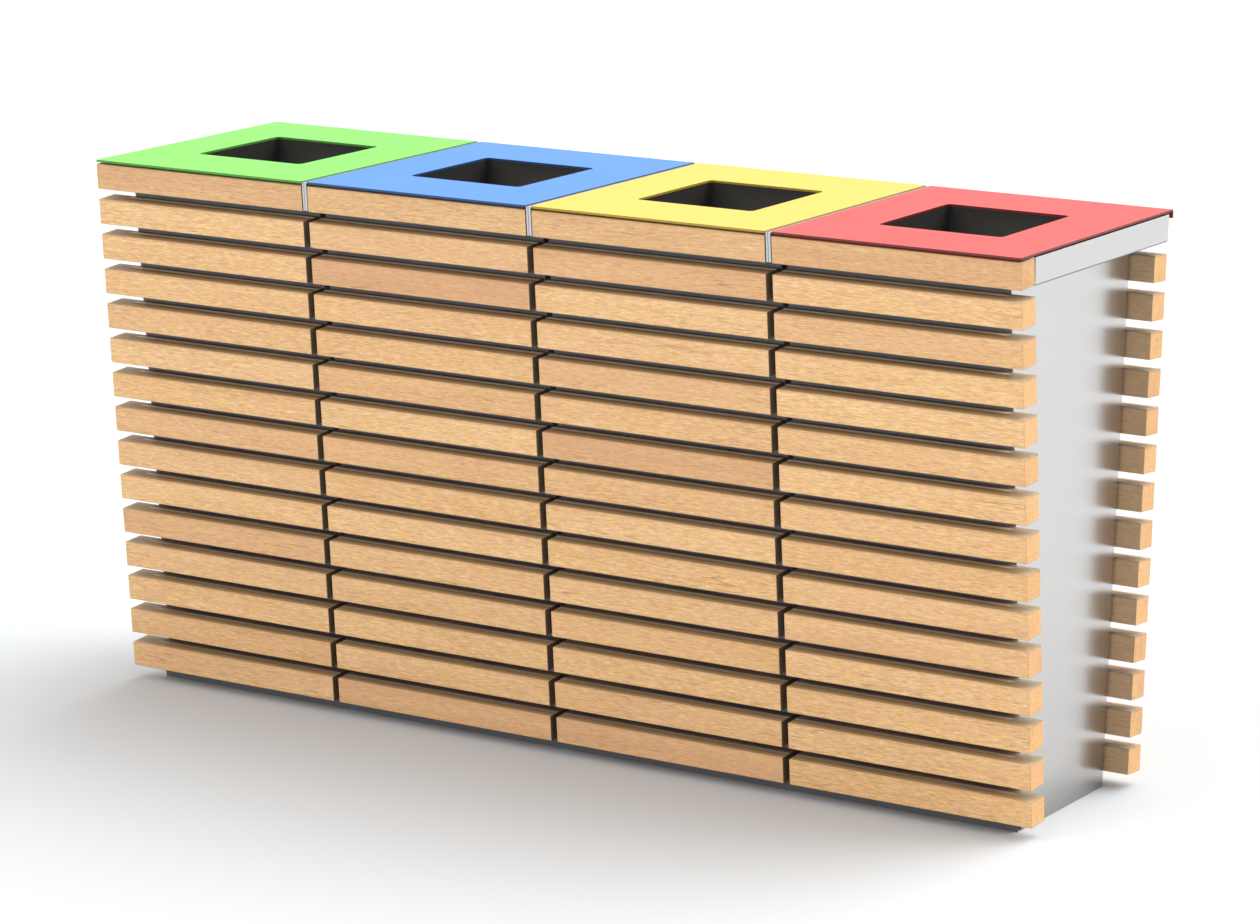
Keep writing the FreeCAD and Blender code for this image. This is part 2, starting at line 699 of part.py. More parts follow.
def rivet_places():
    """Two rivets low on each fixed leaf."""
    height = number(slope_height("0", "Dims.hinge_z - Dims.rivet_drop"))
    places = []
    for module in MODULES:
        for hinge in (-1, 1):
            for side in (-1, 1):
                across = hinge * dim("hinge_offset") + side * dim("hinge_length") / 3
                places.append(rear_face(module_x(module)).multiply(moved(x=across, z=height)))
    return places


# ---------------------------------------------------------------- liners

def liner(label, x):
    """A removable inner bin: a tapered tub with a rim and two hand grips."""
    body = new_body(label, moved(x=x, z=dim("base_sheet")))
    height = "(Dims.liner_top - Dims.base_sheet)"
    rim_foot = "(%s - Dims.liner_wall)" % height

    def outline(lift, wall):
        """The tub's rounded section at a height above its foot, inside a wall."""
        halves = []
        for way in ("width", "depth"):
            base = "Dims.liner_base_%s/2" % way
            mouth = "Dims.liner_mouth_%s/2" % way
            halves.append("%s + (%s - %s)*(%s)/%s - %s" % (base, mouth, base, lift, rim_foot, wall))
        return rounded_rectangle(new_sketch(body, "XY_Plane", lift), halves[0], halves[1],
                                 "Dims.liner_corner - " + wall)

    for kind, floor in (("AdditiveLoft", "0"), ("SubtractiveLoft", "Dims.liner_wall")):
        low, high = outline(floor, floor), outline(rim_foot, floor)
        doc.recompute()
        full = body.Shape.Volume if floor != "0" else 0.0
        tub = body.newObject("PartDesign::" + kind, "tub")
        tub.Profile = low
        tub.Sections = [high]
        doc.recompute()
        if full and body.Shape.Volume > full / 2:
            raise ValueError("%s is not hollow" % label)
    extrude(body, outline(rim_foot, "(-Dims.liner_rim)"), "Dims.liner_wall")
    extrude(body, outline(rim_foot, "Dims.liner_wall"), "Dims.liner_wall", "Pocket", backwards=True)
    grip = rectangle(new_sketch(body, "YZ_Plane"), "-Dims.grip_width/2", "Dims.grip_width/2",
                     height + " - Dims.grip_drop - Dims.grip_depth", height + " - Dims.grip_drop")
    extrude(body, grip, "2*Dims.liner_mouth_width", "Pocket", both=True)


# ---------------------------------------------------------------- assembly

base_plate()
side_panel("side_panel_left", -1)
side_panel("side_panel_right", 1)
for joint in (1, 2, 3):
    boundary = (joint - 2) * dim("module_pitch")
    partition("partition_%d" % joint, boundary)
    divider("divider_%d" % joint, boundary)
end_skirt("end_skirt_left", -1)
end_skirt("end_skirt_right", 1)
rear_skirt()

slat = slat_blank()
frame_leaf = frame_leaf_blank()
lid_leaf = lid_leaf_blank()
for module in MODULES:
    name = module + 1
    centre = module_x(module)
    end_side = {0: -1, 3: 1}.get(module, 0)
    toe_angle(cladding_panel("front_panel_%d" % name, front_face(centre), end_side, 0), end_side)
    cladding_panel("rear_panel_%d" % name, rear_face(centre), -end_side, 1)
    copies("fascia_slat_%d" % name, slat, row_places(0, 1), front_face(centre))
    copies("front_slats_%d" % name, slat, row_places(1, ROWS), front_face(centre))
    copies("rear_slats_%d" % name, slat, row_places(1, ROWS), rear_face(centre))
    lid_seat("lid_seat_%d" % name, centre)
    liner("liner_%d" % name, centre)
    colour = LID_COLOURS[module]
    lid("lid_" + colour, centre)
    throat("throat_" + colour, centre)
    copies("hinge_lid_leaves_" + colour, lid_leaf, hinge_places(module))

all_hinges = [place for module in MODULES for place in hinge_places(module)]
copies("hinge_frame_leaves", frame_leaf, all_hinges)
copies("hinge_pins", pin_blank(), all_hinges)
copies("hinge_rivets", rivet_blank(), rivet_places())
copies("slat_spacers", spacer_blank(), fastener_places())
copies("slat_screws", screw_blank(), fastener_places())
buffer_spots = [moved(module_x(module) + side * dim("buffer_x"), end * dim("buffer_y"))
                for module in MODULES for side in (-1, 1) for end in (-1, 1)]
copies("lid_buffers", buffer_blank(), buffer_spots)
doc.recompute()

for item in doc.Objects:
    if "Invalid" in item.State or "Error" in item.State:
        raise ValueError("%s: %s" % (item.Label, item.State))
os.makedirs("parts", exist_ok=True)
for item in SUB_PARTS:
    if item.Shape.isNull() or not item.Shape.isValid():
        raise ValueError("%s has no valid shape" % item.Label)
for item in SUB_PARTS:
    item.Shape.exportStep("parts/%s.step" % item.Label)
print("%d sub-parts" % len(SUB_PARTS))
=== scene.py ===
"""Looks of the four-stream recycling bin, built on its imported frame.

Metres, +X along the cabinet, +Y to the rear, +Z up. The timber slats get their own detailed
meshes. Every other CAD node keeps its mesh and gets a finish, lids and dividers broken edges too.
"""
import math
import random

import bmesh
import bpy
from mathutils import Matrix, Vector


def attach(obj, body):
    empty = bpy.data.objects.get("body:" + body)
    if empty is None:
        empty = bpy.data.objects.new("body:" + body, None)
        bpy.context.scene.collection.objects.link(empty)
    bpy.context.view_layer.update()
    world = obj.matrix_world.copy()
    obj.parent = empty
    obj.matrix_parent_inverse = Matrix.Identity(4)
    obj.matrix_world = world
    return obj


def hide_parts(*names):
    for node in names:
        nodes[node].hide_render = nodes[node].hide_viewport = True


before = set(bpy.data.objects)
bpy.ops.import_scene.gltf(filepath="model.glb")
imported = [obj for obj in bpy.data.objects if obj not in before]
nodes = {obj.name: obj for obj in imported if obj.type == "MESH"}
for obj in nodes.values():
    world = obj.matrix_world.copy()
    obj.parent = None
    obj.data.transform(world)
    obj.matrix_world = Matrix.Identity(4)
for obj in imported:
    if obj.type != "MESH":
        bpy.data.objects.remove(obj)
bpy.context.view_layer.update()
random.seed(7)

# The part's own measures
MODULE_PITCH = 0.483
MODULES = (1, 2, 3, 4)
TAPER = math.radians(3.93)
TOP_HALF_DEPTH = 0.265
SLAT_TOP = 0.992
SLAT_LENGTH = 0.471
SLAT_HEIGHT = 0.047
SLAT_THICKNESS = 0.046
SLAT_PITCH = 0.066
ROWS = 15
BAND_BOTTOM = 0.947
SKIRT_FRONT = -0.2175
# Softened edges of the visual meshes
LONG_EDGE_ROUND = 0.002
END_EASE = 0.0009
LID_EDGE = 0.0006
DIVIDER_EDGE = 0.0005


def module_x(module):
    """Middle of a module along the cabinet."""
    return (module - 2.5) * MODULE_PITCH


# ---------------------------------------------------------------- shader helpers

def new_material(name):
    material = bpy.data.materials.new(name)
    material.use_nodes = True
    shader = material.node_tree.nodes["Principled BSDF"]
    return material, material.node_tree, shader


def add(tree, kind, inputs=None, **settings):
    """A shader node; inputs are values or sockets to link, by name or index."""
    node = tree.nodes.new("ShaderNode" + kind)
    for name, value in settings.items():
        setattr(node, name, value)
    for key, value in (inputs or {}).items():
        if isinstance(value, bpy.types.NodeSocket):
            tree.links.new(value, node.inputs[key])
        else:
            node.inputs[key].default_value = value
    return node


def calc(tree, operation, *values):
    return add(tree, "Math", dict(enumerate(values)), operation=operation).outputs[0]


def vector_calc(tree, operation, *values):
    inputs = dict(zip((0, 3) if operation == "SCALE" else (0, 1, 2), values))
    return add(tree, "VectorMath", inputs, operation=operation).outputs[0]


def mix(tree, share, first, second, blend="MIX"):
    """Two colours mixed by a share."""
    node = add(tree, "Mix", {0: share, 6: first, 7: second}, data_type="RGBA", blend_type=blend)
    return node.outputs[2]


def span(tree, value, low, high, out_low=0.0, out_high=1.0):
    """A value brought from one range to another, clamped."""
    inputs = {"Value": value, "From Min": low, "From Max": high,
              "To Min": out_low, "To Max": out_high}
    return add(tree, "MapRange", inputs, clamp=True).outputs[0]


def noise(tree, place, stretch, detail=2, roughness=0.5, output="Fac"):
    """Noise with a frequency of its own along each axis, per metre."""
    scaled = vector_calc(tree, "MULTIPLY", place, stretch)
    inputs = {"Vector": scaled, "Scale": 1.0, "Detail": detail, "Roughness": roughness}
    return add(tree, "TexNoise", inputs).outputs[output]


def attribute(tree, name, output="Fac"):
    return add(tree, "Attribute", attribute_name=name).outputs[output]


def object_place(tree):
    return add(tree, "TexCoord").outputs["Object"]


def coordinate(tree, vector, axis):
    return add(tree, "SeparateXYZ", {0: vector}).outputs[axis]


def opaque(colour, gain=1.0):
    """An RGBA colour from three parts."""
    return tuple(gain * part for part in colour) + (1.0,)


def bump(tree, shader, height, distance, strength=1.0):
    node = add(tree, "Bump", {"Height": height, "Distance": distance, "Strength": strength})
    tree.links.new(node.outputs["Normal"], shader.inputs["Normal"])


# ---------------------------------------------------------------- materials

PALE_WOOD = (0.860, 0.585, 0.305, 1.0)
HONEY_WOOD = (0.650, 0.370, 0.150, 1.0)
PINK_WOOD = (0.760, 0.440, 0.270, 1.0)
GOLD_WOOD = (0.800, 0.520, 0.190, 1.0)
BROWN_WOOD = (0.360, 0.180, 0.070, 1.0)
RUSSET_WOOD = (0.560, 0.280, 0.155, 1.0)
FIBRE_DARK = (0.820, 0.745, 0.680, 1.0)
FIBRE_PALE = (1.160, 1.205, 1.260, 1.0)
KNOT_WOOD = (0.240, 0.110, 0.050, 1.0)
END_WOOD = (0.90, 0.78, 0.62, 1.0)
# Painted shade: the brown of a slat's shaded upper face and of its underside
PAINTED_SHADE_BROWN = (0.215, 0.160, 0.095, 1.0)
# Painted shade on the front of a slat's upper face, in the gap
TREAD_FRONT_SHADE = (0.360, 0.225, 0.105, 1.0)
# Painted light: a pale line across the shaded upper face of a slat
TREAD_LIGHT_LINE = (0.980, 0.920, 0.740, 1.0)
# Painted shade on the slat ends in the joints between modules
JOINT_SHADE = (0.130, 0.108, 0.080, 1.0)
# Painted reflection of the shaded floor, darkening steel near its foot
FLOOR_REFLECTION_SHADE = (0.20, 0.195, 0.19, 1.0)
# Painted shade in the folds and seams of sheet metal
SHADE_LINE = (0.16, 0.15, 0.14, 1.0)
THROAT_BLACK = (0.024, 0.023, 0.021, 1.0)
# Paler throat colour, for the speckle and for painted light lower down
THROAT_DUST_AND_LIGHT = (0.120, 0.116, 0.104, 1.0)
ANTHRACITE = (0.110, 0.118, 0.132)
# Painted shade at the back of a slat's upper face, deep in the slot
SLOT_SHADE = (0.070, 0.075, 0.085, 1.0)
OPEN_TREAD = (0.300, 0.260, 0.180, 1.0)
# Painted shade on a slat's inner face, which the rear slats show past the cabinet
INNER_FACE_SHADE = (0.300, 0.250, 0.190, 1.0)
PALE_FLOOR = (0.575, 0.590, 0.603, 1.0)
SHADED_FLOOR = (0.560, 0.575, 0.588, 1.0)

# Each noise in the wood: stretch along the log's axes per metre, detail, roughness
WOOD_NOISES = {
    "streaks": ((6, 420, 420), 4, 0.65),
    "fleck": ((85, 420, 420), 3, 0.70),
    "broad": ((1.6, 26, 26), 3, 0.50),
    "cluster": ((4, 24, 24), 2, 0.50),
    "dashes": ((34, 520, 520), 1, 0.50),
    "speckle": ((230, 430, 430), 2, 0.80),
    "mottle": ((55, 440, 440), 2, 0.70),
    "hue": ((60, 300, 300), 3, 0.70),
    "contour": ((0.8, 34, 34), 1, 0.50),
}

# Distances over which each zone of a slat sets in
TREAD_FRONT_ZONE = (0.012, 0.020)
LIGHT_LINE_FRONT = (0.0265, 0.0285)
LIGHT_LINE_BACK = (0.0365, 0.0380)
TOP_FACE = (-0.0045, -0.0005)
UNDERSIDE = (0.0018 - SLAT_HEIGHT, 0.0002 - SLAT_HEIGHT)
SAWN_ENDS = (SLAT_LENGTH / 2 - 0.0017, SLAT_LENGTH / 2 - 0.0005)
INNER_FACE = (SLAT_THICKNESS - 0.0015, SLAT_THICKNESS - 0.0002)
PAST_THE_CABINET = (0.186, 0.198)
# Heights above the floor between which the painted light line moves inwards and fades
LIGHT_LINE_HEIGHTS = (0.15, 0.80)
LIGHT_LINE_SHIFT_AT_FOOT = 0.0085
LIGHT_LINE_FADE_AT_FOOT = 0.45
# The fascia row, shaded by the lids
FASCIA_HEIGHTS = (0.935, 0.950)
FASCIA_SHADE = 0.94


def log_place(tree):
    """A place inside the slat's log, bent a little so that the grain wanders."""
    place = attribute(tree, "grain", "Vector")
    wander = noise(tree, place, (2.2, 14, 14), output="Color")
    shift = vector_calc(tree, "SUBTRACT", wander, (0.5, 0.5, 0.5))
    shift = vector_calc(tree, "MULTIPLY", shift, (0.0, 0.012, 0.012))
    return vector_calc(tree, "ADD", place, shift)


def clean_wood(tree, place, figure, level):
    """Sound wood: growth rings, fibres and flecks, and a shade of its own for each slat."""
    rings = add(tree, "TexWave", {"Vector": place, "Scale": 38.0, "Distortion": 1.2,
                                  "Detail": 3.0, "Detail Scale": 2.0},
                wave_type="RINGS", rings_direction="X", wave_profile="SAW").outputs["Fac"]
    shade = calc(tree, "MULTIPLY", rings, 0.25)
    for name, weight in (("streaks", 0.80), ("broad", 0.35), ("fleck", 0.60), ("speckle", 1.10)):
        scaled = calc(tree, "MULTIPLY", span(tree, figure[name], 0.3, 0.7), weight)
        shade = calc(tree, "ADD", shade, scaled)
    shade = calc(tree, "ADD", shade, calc(tree, "MULTIPLY", attribute(tree, "tone"), 0.5))
    colour = mix(tree, span(tree, shade, 0.90, 2.55), PALE_WOOD, HONEY_WOOD)
    colour = mix(tree, span(tree, figure["hue"], 0.50, 0.66, 0.0, 0.75), colour, PINK_WOOD)
    colour = mix(tree, span(tree, figure["hue"], 0.50, 0.34, 0.0, 0.75), colour, GOLD_WOOD)
    fibre = mix(tree, span(tree, figure["mottle"], 0.30, 0.70), FIBRE_DARK, FIBRE_PALE)
    colour = mix(tree, 1.0, colour, fibre, "MULTIPLY")
    # Speckle brightness, times the painted shade of the lids on the fascia row
    value = calc(tree, "MULTIPLY", span(tree, figure["speckle"], 0.30, 0.70, 0.86, 1.14),
                 span(tree, level, *FASCIA_HEIGHTS, 1.0, FASCIA_SHADE))
    colour = vector_calc(tree, "SCALE", colour, value)
    reddish = calc(tree, "MULTIPLY", attribute(tree, "redness"),
                   span(tree, figure["broad"], 0.25, 0.65, 0.35, 1.0))
    return mix(tree, reddish, colour, RUSSET_WOOD)


def wood_pores(tree, figure):
    """Short dark dashes, gathered in clusters."""
    return calc(tree, "MULTIPLY", span(tree, figure["dashes"], 0.58, 0.72),
                span(tree, figure["cluster"], 0.40, 0.62, 0.10, 0.70))


def knots(tree, place):
    """A few small knots, each a cell of its own."""
    stretched = vector_calc(tree, "MULTIPLY", place, (2.6, 9.0, 9.0))
    cells = add(tree, "TexVoronoi", {"Vector": stretched, "Scale": 1.0})
    rarity = coordinate(tree, cells.outputs["Color"], 0)
    return calc(tree, "MULTIPLY", span(tree, cells.outputs["Distance"], 0.10, 0.05),
                span(tree, rarity, 0.80, 0.81))


def drying_checks(tree, figure):
    """Long hair cracks along the grain."""
    off_line = calc(tree, "ABSOLUTE", calc(tree, "SUBTRACT", figure["contour"], 0.5))
    return calc(tree, "MULTIPLY", span(tree, figure["cluster"], 0.52, 0.60),
                span(tree, off_line, 0.0060, 0.0020))


def painted_tread(tree, along, inward, level):
    """Colour of a slat's upper face: painted shade in front, a painted light line, then the slot's
    painted shade, and a colour of its own on the open ends.
    """
    shift = span(tree, level, *LIGHT_LINE_HEIGHTS, LIGHT_LINE_SHIFT_AT_FOOT, 0.0)
    depth = calc(tree, "ADD", inward, shift)
    line = calc(tree, "MULTIPLY", span(tree, depth, *LIGHT_LINE_FRONT),
                span(tree, level, *LIGHT_LINE_HEIGHTS, LIGHT_LINE_FADE_AT_FOOT, 1.0))
    tread = mix(tree, span(tree, inward, *TREAD_FRONT_ZONE), TREAD_FRONT_SHADE, PAINTED_SHADE_BROWN)
    tread = mix(tree, line, tread, TREAD_LIGHT_LINE)
    tread = mix(tree, span(tree, depth, *LIGHT_LINE_BACK), tread, SLOT_SHADE)
    outward = calc(tree, "MULTIPLY", along, attribute(tree, "outer_side"))
    joint_side = span(tree, outward, 0.0, 0.001, 1.0, 0.0)
    open_end = calc(tree, "MULTIPLY",
                    span(tree, calc(tree, "ABSOLUTE", along), *PAST_THE_CABINET),
                    calc(tree, "SUBTRACT", 1.0, joint_side))
    return mix(tree, open_end, tread, OPEN_TREAD)


def painted_shade_and_end_grain(tree, colour, level):
    """Wood with its end grain, and with painted shade and light by its place on the slat."""
    local = attribute(tree, "local", "Vector")
    along, inward, up = add(tree, "SeparateXYZ", {0: local}).outputs
    # Painted shade and light on the upper face, patchy by a noise
    tread_patches = noise(tree, attribute(tree, "grain", "Vector"), (9, 60, 60), detail=3)
    top = calc(tree, "MULTIPLY", span(tree, up, *TOP_FACE),
               span(tree, tread_patches, 0.2, 0.7, 0.6, 1.0))
    cover = calc(tree, "MULTIPLY", top, span(tree, inward, 0.0, 0.022, 0.42, 0.95))
    colour = mix(tree, cover, colour, painted_tread(tree, along, inward, level))
    ends = span(tree, calc(tree, "ABSOLUTE", along), *SAWN_ENDS)
    for share, amount, tint, blend in (
            # Painted shade on the underside, the inner face and the ends in joints; the ends also
            # take their end-grain colour
            (span(tree, up, *UNDERSIDE), 0.35, PAINTED_SHADE_BROWN, "MIX"),
            (ends, 0.55, END_WOOD, "MULTIPLY"),
            (span(tree, inward, *INNER_FACE), 0.45, INNER_FACE_SHADE, "MIX"),
            (attribute(tree, "joint"), 0.88, JOINT_SHADE, "MIX")):
        colour = mix(tree, calc(tree, "MULTIPLY", share, amount), colour, tint, blend)
    return colour


def timber():
    """Oiled tropical timber.

    "grain" holds a place inside the log, "local" one on the slat (x along it, y from its face
    inwards, z up to 0 at its top), "tone" and "redness" a shade of its own for each slat,
    "joint" marks the ends in a joint between modules and "outer_side" the cabinet's own end."""
    material, tree, shader = new_material("timber")
    place = log_place(tree)
    level = coordinate(tree, object_place(tree), 2)
    figure = {name: noise(tree, place, *settings) for name, settings in WOOD_NOISES.items()}
    pores = wood_pores(tree, figure)
    colour = clean_wood(tree, place, figure, level)
    for flaw, strength, dark in ((pores, 0.75, BROWN_WOOD), (knots(tree, place), 0.70, KNOT_WOOD),
                                 (drying_checks(tree, figure), 0.55, BROWN_WOOD)):
        colour = mix(tree, calc(tree, "MULTIPLY", flaw, strength), colour, dark)
    tree.links.new(painted_shade_and_end_grain(tree, colour, level), shader.inputs["Base Color"])
    rough = calc(tree, "ADD", calc(tree, "MULTIPLY", figure["streaks"], 0.22), 0.42)
    tree.links.new(rough, shader.inputs["Roughness"])
    shader.inputs["Specular IOR Level"].default_value = 0.35
    height = calc(tree, "SUBTRACT", calc(tree, "MULTIPLY", figure["fleck"], 0.5), pores)
    bump(tree, shader, height, 0.0006, 0.6)
    return material


def brushed_steel(name, colour, roughness, anisotropy, stretch):
    """Stainless sheet with a fine satin grain; `stretch` is its frequency along each axis."""
    material, tree, shader = new_material(name)
    place = object_place(tree)
    lines = noise(tree, place, stretch, detail=3, roughness=0.6)
    cloud = noise(tree, place, (5, 5, 5), detail=4)
    height = coordinate(tree, place, 2)
    mixed = mix(tree, span(tree, lines, 0.3, 0.7), opaque(colour, 0.955), opaque(colour))
    # Painted reflection of the shaded floor: the sheet darker towards its foot
    foot_shade = calc(tree, "ADD", span(tree, height, 0.0, 0.09, 0.45, 0.0),
                  span(tree, height, 0.05, 0.40, 0.10, 0.0))
    mixed = mix(tree, foot_shade, mixed, FLOOR_REFLECTION_SHADE)
    tree.links.new(mixed, shader.inputs["Base Color"])
    spread = calc(tree, "ADD", calc(tree, "MULTIPLY", lines, 0.05),
                  calc(tree, "MULTIPLY", cloud, 0.07))
    tree.links.new(calc(tree, "ADD", spread, roughness - 0.06), shader.inputs["Roughness"])
    shader.inputs["Metallic"].default_value = 1.0
    shader.inputs["Anisotropic"].default_value = anisotropy
    bump(tree, shader, lines, 0.000008, 0.25)
    return material


def painted_shade_lines(material, axis, distances):
    """Painted shade: thin dark lines where sheets fold or meet, at (place, half-width) pairs along
    an axis.
    """
    tree = material.node_tree
    shader = tree.nodes["Principled BSDF"]
    socket = shader.inputs["Base Color"]
    colour = socket.links[0].from_socket
    along = coordinate(tree, object_place(tree), axis)
    for place, half_width in distances:
        off = calc(tree, "ABSOLUTE", calc(tree, "SUBTRACT", along, place))
        line = span(tree, off, half_width, 0.5 * half_width)
        colour = mix(tree, line, colour, SHADE_LINE)
    tree.links.new(colour, socket)


def powder_coat(name, colour, roughness, speckle=0.06, edge=1.0):
    """Baked powder paint: a fine orange-peel skin, faint speckle, and painted shade that leaves
    the sheet edges `edge` as bright.
    """
    material, tree, shader = new_material(name)
    place = object_place(tree)
    peel = noise(tree, place, (900, 900, 900), detail=2)
    cloud = noise(tree, place, (7, 7, 7), detail=3)
    share = calc(tree, "MULTIPLY", span(tree, peel, 0.35, 0.65),
                 span(tree, cloud, 0.3, 0.7, 0.6, 1.0))
    coat = mix(tree, share, opaque(colour, 1 - speckle), opaque(colour))
    # Painted shade on the sides of the sheet, which face sideways, not up or down
    if edge < 1.0:
        normal = add(tree, "TexCoord").outputs["Normal"]
        level = calc(tree, "ABSOLUTE", coordinate(tree, normal, 2))
        shaded = (edge, edge, edge, 1.0)
        coat = mix(tree, span(tree, level, 0.75, 0.35), coat, shaded, "MULTIPLY")
    tree.links.new(coat, shader.inputs["Base Color"])
    spread = calc(tree, "MULTIPLY", cloud, 0.10)
    tree.links.new(calc(tree, "ADD", spread, roughness - 0.05), shader.inputs["Roughness"])
    shader.inputs["IOR"].default_value = 1.5
    bump(tree, shader, peel, 0.00012, 0.4)
    return material


def painted_light_above(material, low, high, gain):
    """A finish `gain` times as bright above a height: painted light."""
    tree = material.node_tree
    socket = tree.nodes["Principled BSDF"].inputs["Base Color"]
    colour = socket.links[0].from_socket
    height = coordinate(tree, object_place(tree), 2)
    brightness = span(tree, height, low, high, 1.0, gain)
    tree.links.new(vector_calc(tree, "SCALE", colour, brightness), socket)


def throat_coat():
    """Matt black of the drop openings with a coarse speckle, painted lighter further down and with
    painted shade on the walls facing +X.
    """
    material, tree, shader = new_material("throat_coat")
    place = object_place(tree)
    height = coordinate(tree, place, 2)
    speckle = noise(tree, place, (420, 420, 420), detail=3, roughness=0.7)
    # Painted light: paler further down, plus the speckle
    dust_and_light = calc(tree, "ADD", span(tree, height, 0.998, 0.951, 0.0, 0.55),
                calc(tree, "MULTIPLY", span(tree, speckle, 0.35, 0.75), 0.35))
    # Painted shade on the walls that face +X
    facing = coordinate(tree, add(tree, "TexCoord").outputs["Normal"], 0)
    dust_and_light = calc(tree, "MULTIPLY", dust_and_light, span(tree, facing, 0.1, 0.9, 1.0, 0.15))
    colour = mix(tree, dust_and_light, THROAT_BLACK, THROAT_DUST_AND_LIGHT)
    tree.links.new(colour, shader.inputs["Base Color"])
    shader.inputs["Roughness"].default_value = 0.95
    shader.inputs["Specular IOR Level"].default_value = 0.08
    bump(tree, shader, speckle, 0.0004, 0.5)
    return material


def moulded(name, colour, roughness, grain):
    """Moulded plastic or rubber with a fine spark-eroded texture."""
    material, tree, shader = new_material(name)
    place = object_place(tree)
    skin = noise(tree, place, (grain, grain, grain), detail=3)
    cloud = noise(tree, place, (9, 9, 9), detail=3)
    dusty = opaque(1.5 * part + 0.004 for part in colour)
    share = span(tree, cloud, 0.45, 0.8, 0.0, 0.5)
    tree.links.new(mix(tree, share, opaque(colour), dusty), shader.inputs["Base Color"])
    spread = calc(tree, "MULTIPLY", skin, 0.15)
    tree.links.new(calc(tree, "ADD", spread, roughness), shader.inputs["Roughness"])
    bump(tree, shader, skin, 0.00015, 0.5)
    return material


def floor_paint():
    material, tree, shader = new_material("studio_floor")
    cloud = noise(tree, object_place(tree), (0.4, 0.4, 0.4), detail=2)
    colour = mix(tree, cloud, SHADED_FLOOR, PALE_FLOOR)
    tree.links.new(colour, shader.inputs["Base Color"])
    shader.inputs["Roughness"].default_value = 0.9
    shader.inputs["Specular IOR Level"].default_value = 0.1
    return material


# Painted light on the front and rear panels above their dark foot
PANEL_LIGHT_HEIGHTS = (0.03, 0.06)
PANEL_LIGHT_GAIN = 1.9

WOOD = timber()
STEEL = brushed_steel("stainless_sheet", (0.650, 0.633, 0.620), 0.25, 0.2, (500, 200, 600))
SKIRT = brushed_steel("stainless_skirt", (0.645, 0.630, 0.615), 0.34, 0.0, (500, 500, 500))
# Painted shade lines along the skirt's lower edge and its front edge
painted_shade_lines(SKIRT, 2, [(BAND_BOTTOM, 0.0022)])
painted_shade_lines(SKIRT, 1, [(SKIRT_FRONT, 0.0026)])
STEEL_BAND = brushed_steel("stainless_band", (0.56, 0.56, 0.57), 0.30, 0.2, (300, 300, 40))
# Painted shade lines in the seams of the dividers between modules
painted_shade_lines(STEEL_BAND, 0, [(module_x(k + 0.5), 0.0008) for k in MODULES[:-1]])
STEEL_HINGE = brushed_steel("hinge_steel", (0.60, 0.60, 0.60), 0.34, 0.0, (300, 300, 300))
DARK = powder_coat("anthracite_coat", ANTHRACITE, 0.5)
# A lit copy of the anthracite coat, with painted light above its foot
PANEL = powder_coat("panel_coat", ANTHRACITE, 0.5)
painted_light_above(PANEL, *PANEL_LIGHT_HEIGHTS, PANEL_LIGHT_GAIN)
THROAT = throat_coat()
LINER = moulded("liner_plastic", (0.020, 0.020, 0.022), 0.45, 1400)
RUBBER = moulded("buffer_rubber", (0.015, 0.015, 0.015), 0.65, 2200)
NYLON = moulded("spacer_nylon", (0.030, 0.030, 0.030), 0.45, 1800)
# Each lid's edge share sets how dark its painted edge shade is
LID_PAINT = {
    "green": powder_coat("lid_green_coat", (0.150, 0.600, 0.045), 0.38, edge=0.42),
    "blue": powder_coat("lid_blue_coat", (0.022, 0.200, 0.620), 0.38, edge=0.22),
    "yellow": powder_coat("lid_yellow_coat", (0.700, 0.490, 0.037), 0.38, edge=0.50),
    "red": powder_coat("lid_red_coat", (0.620, 0.030, 0.024), 0.38, edge=0.22),
}


def paint(obj, material):
    """Every material slot of an object takes one finish."""
    if not obj.data.materials:
        obj.data.materials.append(material)
    for k in range(len(obj.data.materials)):
        obj.data.materials[k] = material


FINISHES = {
    "side_panel": STEEL, "end_skirt": SKIRT, "rear_skirt": STEEL, "divider": STEEL_BAND,
    "base_plate": DARK, "partition": DARK, "front_panel": PANEL, "rear_panel": PANEL,
    "lid_seat": DARK, "liner": LINER, "throat": THROAT, "hinge": STEEL_HINGE,
    "slat_spacers": NYLON, "slat_screws": STEEL_HINGE, "lid_buffers": RUBBER,
}
for name, node in nodes.items():
    colour = name.split("_")[-1]
    if name.startswith("lid_") and colour in LID_PAINT:
        paint(node, LID_PAINT[colour])
    elif "slat" in name and "slat_s" not in name:
        paint(node, WOOD)
    else:
        paint(node, next(finish for start, finish in FINISHES.items() if name.startswith(start)))


# ---------------------------------------------------------------- timber

USUAL_RED_SHARE = 0.85  # share of slats whose redness follows USUAL_RED, the rest STRONG_RED
USUAL_RED = (0.10, 0.16)
STRONG_RED = (0.35, 0.6)


def slat_template():
    """One slat with rounded long edges and softly eased ends, centred on its length."""
    bm = bmesh.new()
    bmesh.ops.create_cube(bm, size=1.0)
    bmesh.ops.scale(bm, vec=(SLAT_LENGTH, SLAT_THICKNESS, SLAT_HEIGHT), verts=bm.verts)
    bmesh.ops.translate(bm, vec=(0, SLAT_THICKNESS / 2, -SLAT_HEIGHT / 2), verts=bm.verts)
    long_edges = [e for e in bm.edges if abs(e.verts[0].co.x - e.verts[1].co.x) > 0.1]
    bmesh.ops.bevel(bm, geom=long_edges, offset=LONG_EDGE_ROUND, segments=3, profile=0.5,
                    affect="EDGES")
    ends = [e for e in bm.edges
            if abs(abs(e.verts[0].co.x) - SLAT_LENGTH / 2) < 1e-6
            and abs(e.verts[0].co.x - e.verts[1].co.x) < 1e-6]
    bmesh.ops.bevel(bm, geom=ends, offset=END_EASE, segments=2, profile=0.5, affect="EDGES")
    return bm


def even_normals(obj):
    for polygon in obj.data.polygons:
        polygon.use_smooth = True
    obj.modifiers.new("even_normals", "WEIGHTED_NORMAL").keep_sharp = True


